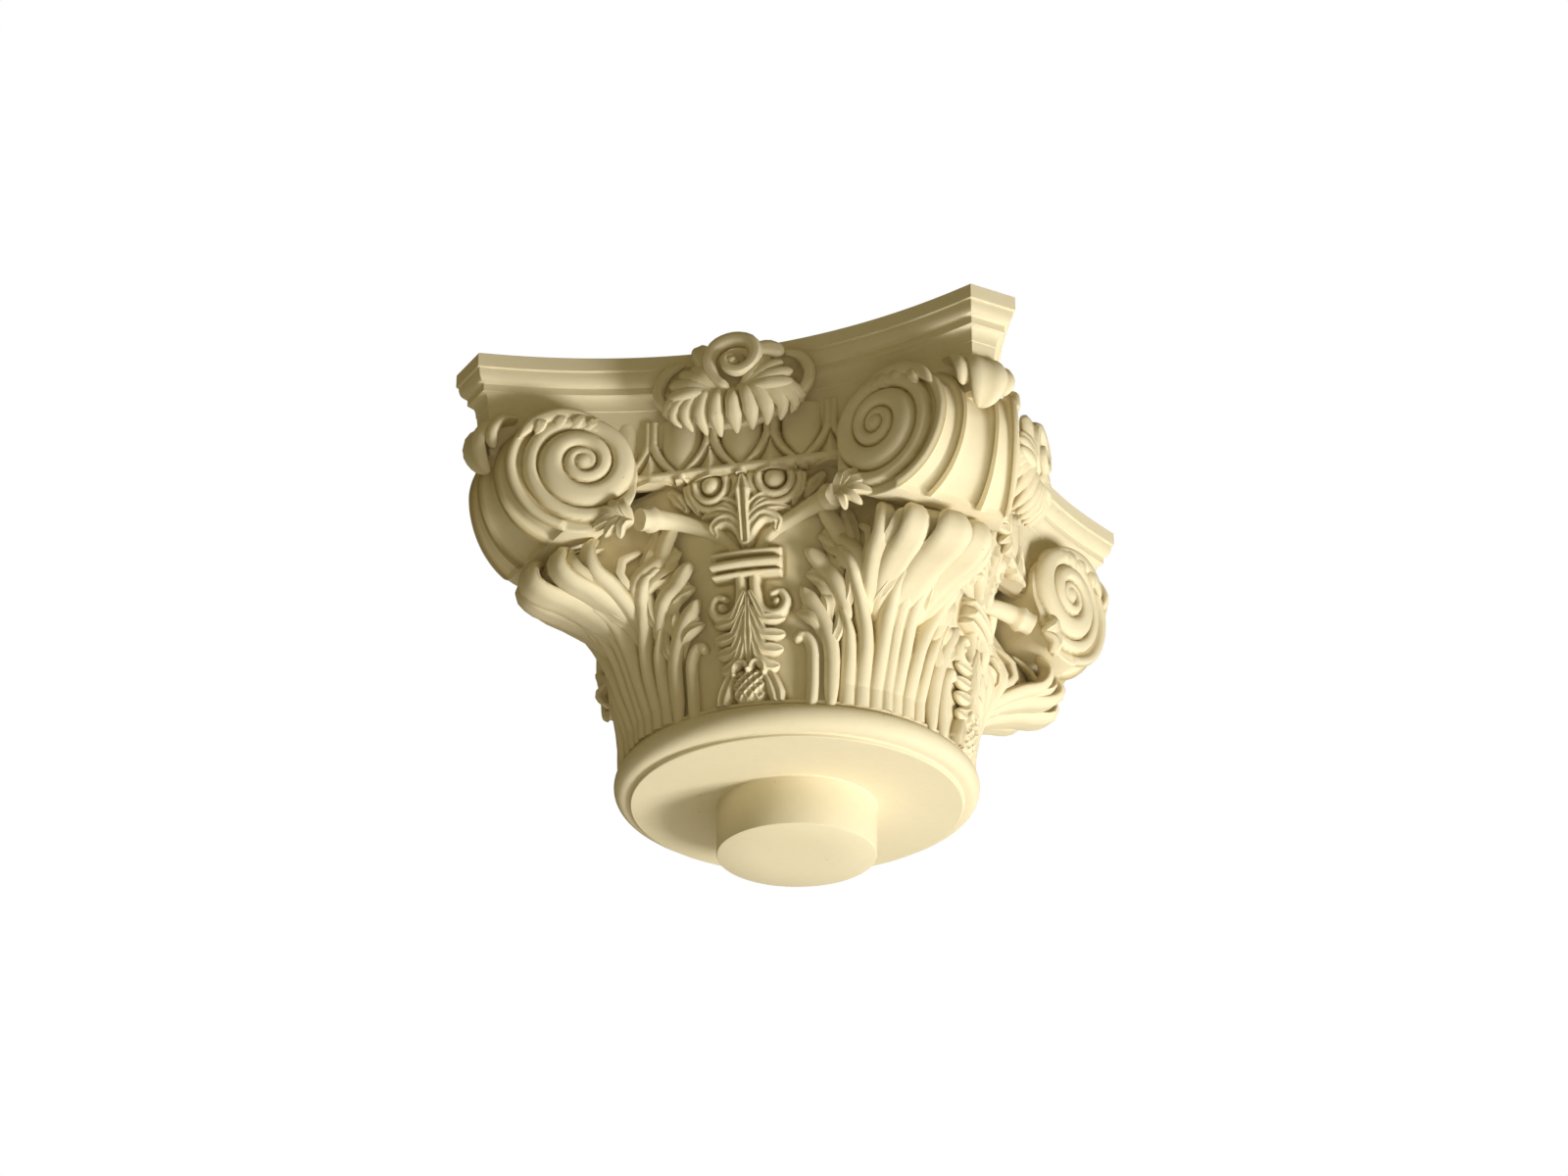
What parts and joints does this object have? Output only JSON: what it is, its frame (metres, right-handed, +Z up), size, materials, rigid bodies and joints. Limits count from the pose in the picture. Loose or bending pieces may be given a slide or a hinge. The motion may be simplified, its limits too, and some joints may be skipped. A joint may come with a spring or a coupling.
{
  "type": "corinthian capital",
  "caption": "Square column capital with hollow-sided abacus, corner volutes, acanthus leaves and a round tenon under its neck ring.",
  "frame": {"origin": "centre of the tenon's underside", "axes": "+Z up along the column's axis, -Y out of one carved face, corners on the diagonals of X and Y"},
  "size_m": [0.44, 0.44, 0.3475],
  "materials": {
    "stone": "matt cream cast stone, slightly chalky"
  },
  "bodies": {
    "root": {"capital": "stone"}
  },
  "joints": []
}
